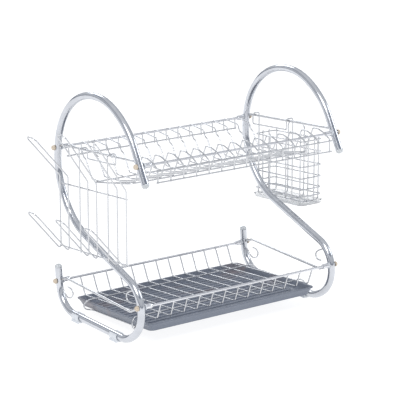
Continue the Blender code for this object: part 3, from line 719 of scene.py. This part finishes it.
def hanger(name, side, wall_x, first_y, second_y, foot_z):
    """One wire: up the wall, over the brace, along its inner side and back again."""
    reach = THICK_R + THIN_R + 0.0003
    inner = side * (FRAME_HALF - reach - 0.0008)
    top = reach + 0.0003
    one, two = ([hung(wall_x, y, foot_z), hung(wall_x, y, top), hung(inner, y, top),
                 hung(inner, y, -0.0145)] for y in (first_y, second_y))
    return bend_wire(name, one + two[::-1], 0.0034, THIN_R, wire_chrome, ribs=3)


mug_wires = []
for label, middle, out, rise in MUG_PAIRS:
    half_pair = ((MUG_X - MUG_LOW_HOOK[0], MUG_FOOT + MUG_LOW_HOOK[1]), (MUG_X, MUG_FOOT),
                 (MUG_X, MUG_SHOULDER), (MUG_X - out, MUG_SHOULDER + rise))
    run = [hung(x, middle + PAIR_HALF, z) for x, z in half_pair]
    run += [hung(x, middle - PAIR_HALF, z) for x, z in reversed(half_pair)]
    mug_wires.append(bend_wire("hook_pair", run,
                               [0.010, 0.004, 0.008, 0.010, 0.010, 0.008, 0.004, 0.010],
                               THIN_R, wire_chrome, closed=True, fine=10, ribs=3))
mug_ends = (MUG_PAIRS[0][1] + PAIR_HALF + 0.001, MUG_PAIRS[-1][1] - PAIR_HALF - 0.001)
for level in (MUG_LOW, MUG_HIGH):
    mug_wires.append(bend_wire("mug_cross_wire", [hung(MUG_X + CROSS, y, level) for y in mug_ends],
                               0, THIN_R, wire_chrome, ribs=3))
mug_wires.append(hanger("mug_hanger", -1, MUG_X, *MUG_SINGLES, MUG_LOW - 0.002))
mug_rack = join_up("mug_rack_wires", mug_wires)
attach(mug_rack, "mug_rack")
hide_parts("mug_rack")

# ---- Utensil basket ------------------------------------------------------------------
# Six rounded rings held by U-shaped wires; the two middle ones meet in a hoop above the
# rim. A hanger wire welded to the inner side hooks over the right upper brace.
CADDY_X = (0.2008, 0.2440)
CADDY_Y = (-0.0200, 0.1075)
CADDY_RINGS = (-0.0354, -0.0570, -0.0795, -0.0995, -0.1187, -0.1308)
CADDY_FLOOR = CADDY_RINGS[-1]
CADDY_HOOKS = (0.0955, 0.0035)
CADDY_HOOP = (0.0252, 0.0688)
CADDY_HOOP_TOP = -0.0125
caddy_wires = []
for level in CADDY_RINGS:
    ring_run = [hung(x, y, level) for x, y in (
        (CADDY_X[0], CADDY_Y[0]), (CADDY_X[1], CADDY_Y[0]),
        (CADDY_X[1], CADDY_Y[1]), (CADDY_X[0], CADDY_Y[1]))]
    caddy_wires.append(bend_wire("ring", ring_run, 0.006, THIN_R, wire_chrome,
                                 closed=True, ribs=2))
wire_top = CADDY_RINGS[0] + 0.004
wire_low = CADDY_FLOOR - 0.0105
in_x, out_x = CADDY_X[0] + CROSS, CADDY_X[1] - CROSS
hoop_run = [hung(x, CADDY_HOOP[0], z) for x, z in (
    (in_x, wire_top), (in_x, wire_low), (out_x, wire_low), (out_x, CADDY_HOOP_TOP))]
hoop_run += [hung(x, CADDY_HOOP[1], z) for x, z in (
    (out_x, CADDY_HOOP_TOP), (out_x, wire_low), (in_x, wire_low), (in_x, wire_top))]
caddy_wires.append(bend_wire("hoop", hoop_run,
                             [0, 0.005, 0.005, 0.011, 0.011, 0.005, 0.005, 0],
                             THIN_R, wire_chrome, ribs=3))
for y in (CADDY_Y[0] + 0.0065, CADDY_Y[1] - 0.0065):
    caddy_wires.append(bend_wire("upright", [hung(x, y, z) for x, z in (
        (in_x, wire_top), (in_x, wire_low), (out_x, wire_low), (out_x, wire_top))],
        0.005, THIN_R, wire_chrome, ribs=2))
for x in (CADDY_X[0] + 0.015, CADDY_X[1] - 0.015):
    caddy_wires.append(bend_wire("upright", [hung(x, y, z) for y, z in (
        (CADDY_Y[0] + CROSS, wire_top), (CADDY_Y[0] + CROSS, wire_low - CROSS),
        (CADDY_Y[1] - CROSS, wire_low - CROSS), (CADDY_Y[1] - CROSS, wire_top))],
        0.005, THIN_R, wire_chrome, ribs=2))
caddy_wires.append(hanger("caddy_hanger", 1, CADDY_X[0] - CROSS, *CADDY_HOOKS, CADDY_FLOOR))
utensil_basket = join_up("utensil_basket_wires", caddy_wires)
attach(utensil_basket, "utensil_basket")
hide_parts("utensil_basket")

# ---- Utensil tray --------------------------------------------------------------------
# A shallow cup of clear plastic that pushes up round the basket's floor and catches the
# drips; its rim is turned out a little and its floor follows the brace's slope.
clear_plastic = moulded("clear_plastic", (0.95, 0.96, 0.97), 0.03, 0.92, 90)
CUP_CLEAR = THIN_R + 0.0003
CUP_WALL = 0.0014
CUP_LOW = CADDY_FLOOR - 0.0160
CUP_RIM = CADDY_FLOOR - 0.0095
cup_mid_x = (CADDY_X[0] + CADDY_X[1]) / 2
cup_mid_y = (CADDY_Y[0] + CADDY_Y[1]) / 2


def cup_half(grow):
    return ((CADDY_X[1] - CADDY_X[0]) / 2 + grow, (CADDY_Y[1] - CADDY_Y[0]) / 2 + grow)


start_half = cup_half(CUP_CLEAR - 0.0005)
CUP_START = 0.0005
utensil_cup = round_slab(start_half, CUP_START)
CUP_STEPS = ((0.0010, CUP_CLEAR + CUP_WALL), (CUP_RIM - CUP_LOW - 0.0030, CUP_CLEAR + CUP_WALL),
             (0, CUP_CLEAR + CUP_WALL + 0.0012), (0.0015, CUP_CLEAR + CUP_WALL + 0.0012),
             (0, CUP_CLEAR), (CUP_LOW + CUP_WALL - CUP_RIM, CUP_CLEAR))
before = start_half
for rise, grow in CUP_STEPS:
    step_out(rise, cup_half(grow), before)
    before = cup_half(grow)
bpy.ops.mesh.select_all(action="SELECT")
bpy.ops.mesh.normals_make_consistent(inside=False)
bpy.ops.object.mode_set(mode="OBJECT")
utensil_cup.name = "utensil_cup"
soften_edges(utensil_cup, 0.0004, 3, 30)
for vert in utensil_cup.data.vertices:
    vert.co = hung(cup_mid_x + vert.co.x, cup_mid_y + vert.co.y, CUP_LOW + vert.co.z)
utensil_cup.data.materials.append(clear_plastic)
bpy.ops.object.shade_smooth_by_angle(angle=math.radians(35))
utensil_cup.select_set(False)
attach(utensil_cup, "utensil_tray")
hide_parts("utensil_tray")
